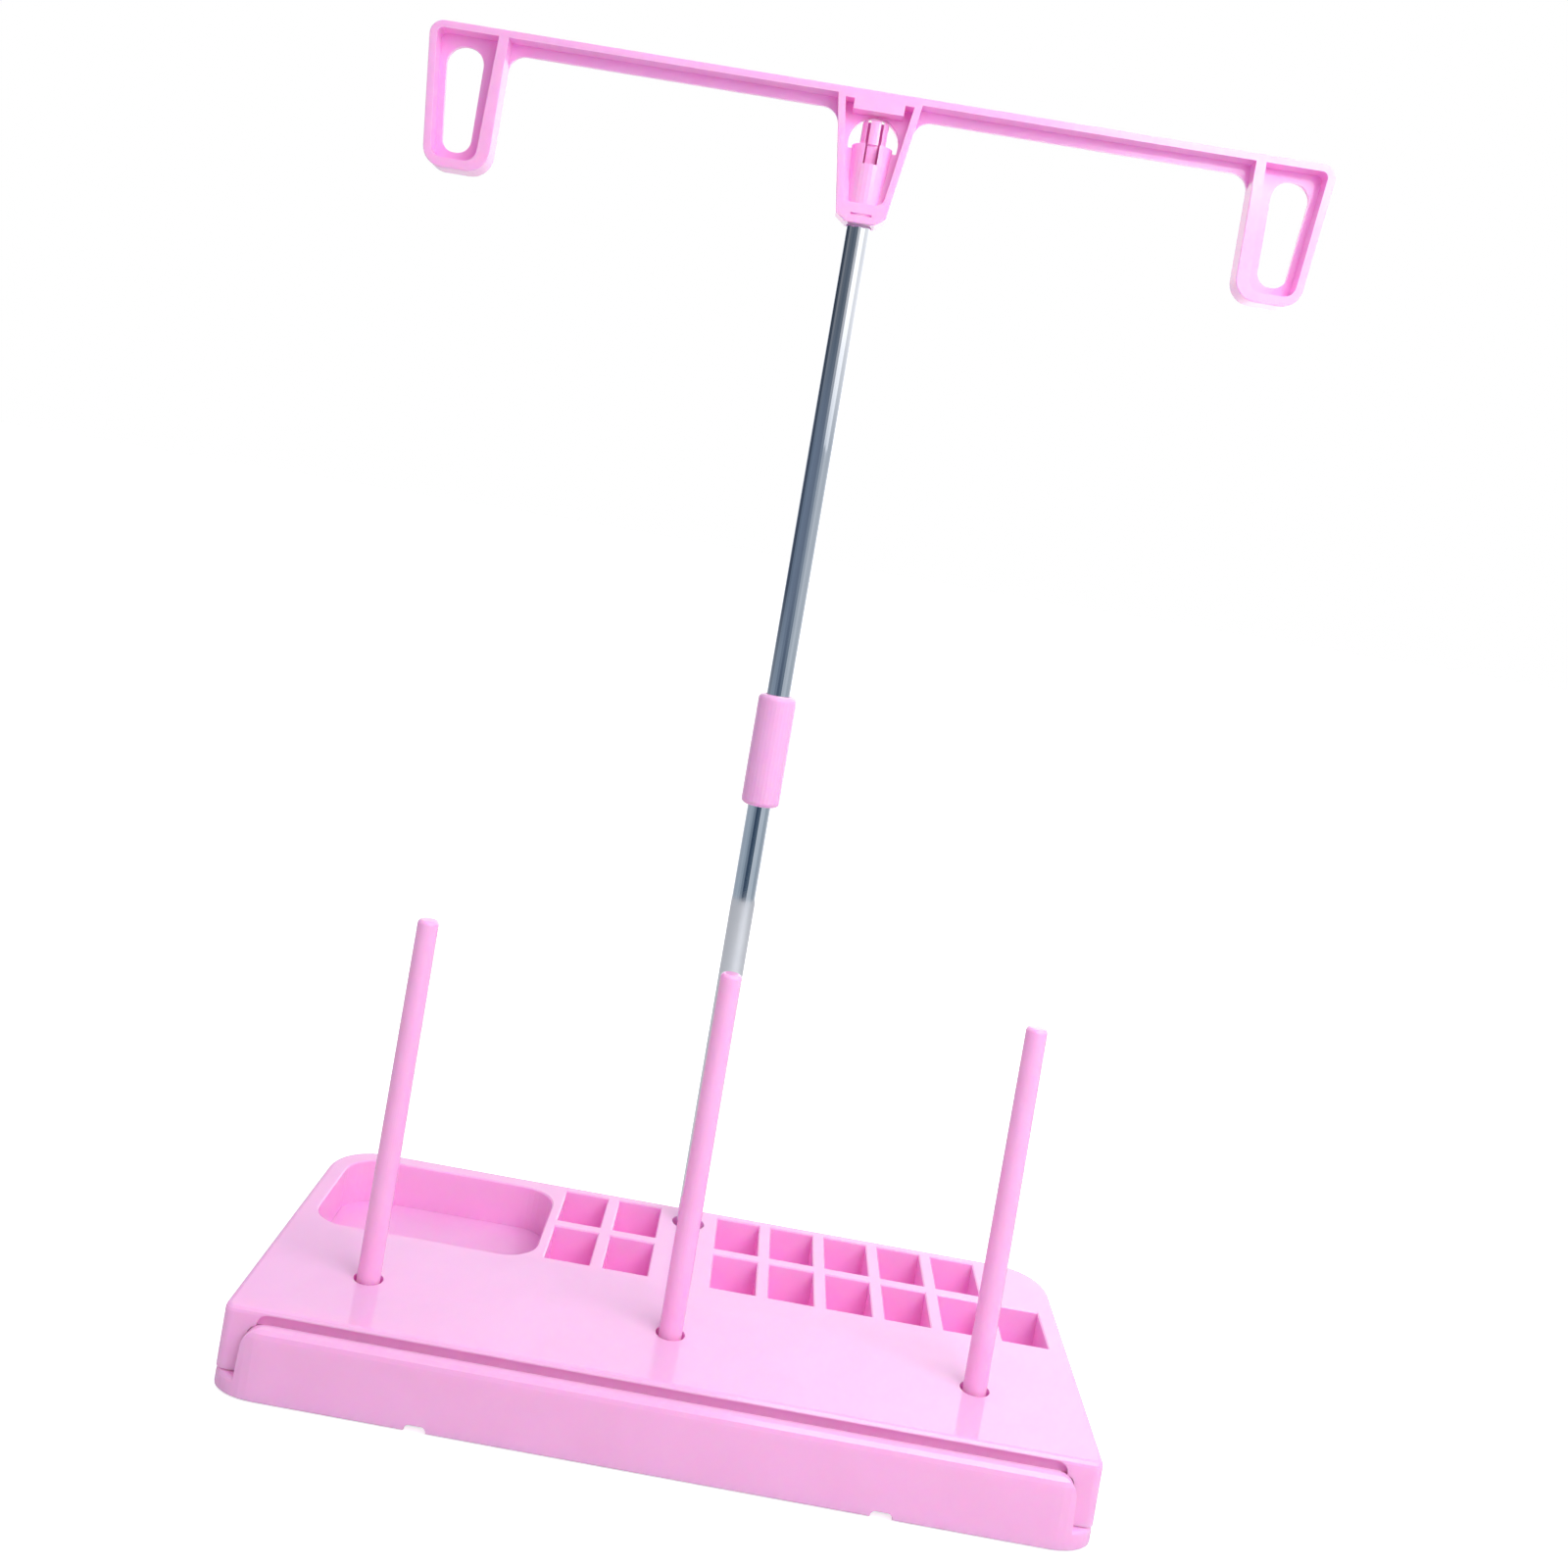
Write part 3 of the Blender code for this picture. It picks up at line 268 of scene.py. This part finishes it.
def pink_plastic():
    """Moulded gloss plastic with painted shade, which makes recesses a little deeper in colour, and a faint painted
    glow in them; slight flow marks in colour and gloss, and a faint waviness."""
    material, nodes, shader = new_material("pink_gloss_plastic")
    place = nodes.add("ShaderNodeTexCoord").outputs["Object"]
    # The share of open space nearby, which drives the painted shade and the painted glow of the recesses.
    painted_shade_and_glow_mask = nodes.add(
        "ShaderNodeAmbientOcclusion", {"Distance": RECESS_REACH}, samples=RECESS_SAMPLES, only_local=True,
    ).outputs["AO"]
    # Painted shade: the pink deepens in recesses.
    pink = nodes.ramp(painted_shade_and_glow_mask, [(DEEP, PINK_PAINTED_SHADE), (OPEN, PINK_OPEN)])
    flow = nodes.noise(place, scale=38.0, detail=3.0, distortion=0.6)
    marks = nodes.ramp(flow, [(0.35, FLOW_MARK), (0.65, 1.0)])
    smear = nodes.noise(place, scale=160.0, detail=4.0)
    wave = nodes.noise(place, scale=420.0, detail=2.0)
    nodes.fill(shader, {
        "Base Color": nodes.mix(1.0, pink, marks, blend_type="MULTIPLY"),
        # Painted glow in the recesses, strongest where they are deepest.
        "Emission Color": PAINTED_GLOW_COLOR,
        "Emission Strength": nodes.spread(painted_shade_and_glow_mask, PAINTED_GLOW_STRENGTH, 0.0, DEEP, PAINTED_GLOW_END),
        "Roughness": nodes.spread(smear, *PINK_ROUGHNESS),
        "Normal": nodes.bump(wave, strength=0.06, depth=0.00012),
        "IOR": 1.5,
        "Subsurface Weight": 0.5,
        "Subsurface Radius": (1.0, 0.22, 0.6),
        "Subsurface Scale": 0.005,
    })
    return material


def chrome():
    """Chromed tube: a bright mirror with drawing lines along it and a little haze."""
    material, nodes, shader = new_material("chrome")
    place = nodes.add("ShaderNodeTexCoord").outputs["Object"]
    along = nodes.add("ShaderNodeMapping", {"Vector": place, "Scale": DRAWN_OUT}).outputs["Vector"]
    drawn = nodes.noise(along, scale=2600.0, detail=2.0)
    haze = nodes.noise(place, scale=90.0, detail=4.0)
    nodes.fill(shader, {
        "Base Color": nodes.ramp(haze, [(0.3, CHROME_DULL), (0.7, CHROME_BRIGHT)]),
        "Metallic": 1.0,
        "Roughness": nodes.spread(nodes.math("MULTIPLY", drawn, haze), *CHROME_ROUGHNESS),
        "Normal": nodes.bump(drawn, strength=0.06, depth=0.00004),
    })
    return material


def white_floor():
    """A pale table that the camera sees as white, with the stand's shadow on it."""
    material, nodes, shader = new_material("floor_white")
    rays = nodes.add("ShaderNodeLightPath").outputs
    nodes.fill(shader, {
        "Base Color": FLOOR_COLOR,
        "Roughness": FLOOR_ROUGHNESS,
        "Emission Color": WHITE,
        "Emission Strength": nodes.math("MULTIPLY", rays["Is Camera Ray"], FLOOR_GLOW),
    })
    corners = [(x * FLOOR_REACH, y * FLOOR_REACH, 0) for x, y in ((-1, -1), (1, -1), (1, 1), (-1, 1))]
    floor = add_mesh("floor", corners, [(0, 1, 2, 3)], material)
    floor.location.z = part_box("base_shell")[0].z - FLOOR_GAP


def white_world():
    """Plain light from all round, seen by the camera and in reflections as white."""
    world = bpy.data.worlds.new("studio")
    bpy.context.scene.world = world
    nodes = Nodes(world)
    rays = nodes.add("ShaderNodeLightPath").outputs
    seen = nodes.math("MAXIMUM", rays["Is Camera Ray"], rays["Is Transmission Ray"])
    seen = nodes.math("MAXIMUM", seen, rays["Is Glossy Ray"])
    sky = nodes.add("ShaderNodeTexCoord").outputs["Generated"]
    toward = nodes.add("ShaderNodeVectorMath", {0: sky, 1: TOP_DIRECTION}, operation="DOT_PRODUCT")
    strength = nodes.spread(toward.outputs["Value"], FRONT_LIGHT, TOP_LIGHT, start=FRONT_COSINE)
    room = nodes.add("ShaderNodeBackground", {"Color": ROOM_COLOR, "Strength": strength})
    white = nodes.add("ShaderNodeBackground", {"Color": WHITE, "Strength": 1.0})
    mixed = nodes.add("ShaderNodeMixShader", {0: seen, 1: room.outputs[0], 2: white.outputs[0]})
    nodes.add("ShaderNodeOutputWorld", {"Surface": mixed.outputs[0]})


def wall_tones(stops):
    """Tones against plain white, as shares of the walls' peak."""
    return [(place, tuple(channel / WALL_PEAK for channel in tone)) for place, tone in stops]


def wall_material():
    """The walls' own glow, in tones that change round the ring and with the height."""
    material = bpy.data.materials.new("studio_walls")
    nodes = Nodes(material)
    place = nodes.add("ShaderNodeTexCoord").outputs["Object"]
    x, y, z = nodes.add("ShaderNodeSeparateXYZ", {0: place}).outputs
    angle = nodes.math("ARCTAN2", x, nodes.math("MULTIPLY", y, -1.0))
    around = nodes.math("ADD", nodes.math("DIVIDE", angle, math.tau), 0.5)
    level = nodes.math("DIVIDE", z, WALL_HEIGHT)
    shade = nodes.ramp(around, wall_tones(WALL_LOW))
    for tones, start, end in WALL_FADES:
        share = nodes.spread(level, 0.0, 1.0, start, end)
        shade = nodes.mix(share, shade, nodes.ramp(around, wall_tones(tones)))
    glow = nodes.add("ShaderNodeEmission", {"Color": shade, "Strength": WALL_PEAK})
    nodes.add("ShaderNodeOutputMaterial", {"Surface": glow.outputs[0]})
    return material


def studio_walls():
    """The studio round the mast, seen only in reflections: dark by the camera and to the left, and pale behind.

    To the right the walls are pale at the top and greyer lower down.
    """
    points = []
    for z in (0, WALL_HEIGHT):
        for side in range(WALL_SIDES):
            angle = math.tau * side / WALL_SIDES
            points.append((WALL_RADIUS * math.sin(angle), -WALL_RADIUS * math.cos(angle), z))
    faces = []
    for side in range(WALL_SIDES):
        following = (side + 1) % WALL_SIDES
        faces.append((side, following, following + WALL_SIDES, side + WALL_SIDES))
    walls = add_mesh("studio_walls", points, faces, wall_material())
    low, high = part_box("lower_tube")
    walls.location = ((low.x + high.x) / 2, (low.y + high.y) / 2, 0)
    walls.visible_camera = False
    walls.visible_diffuse = False
    walls.visible_transmission = False
    walls.visible_shadow = False
    walls.visible_volume_scatter = False


aim_camera()
white_world()
white_floor()
studio_walls()
for name, lamp in LAMPS.items():
    area_light(name, *lamp)
PINK = pink_plastic()
CHROME = chrome()
for name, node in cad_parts.items():
    material = CHROME if name in CHROME_NODES else PINK
    for slot in node.material_slots:
        slot.material = material

bpy.context.scene.view_settings.view_transform = "Standard"
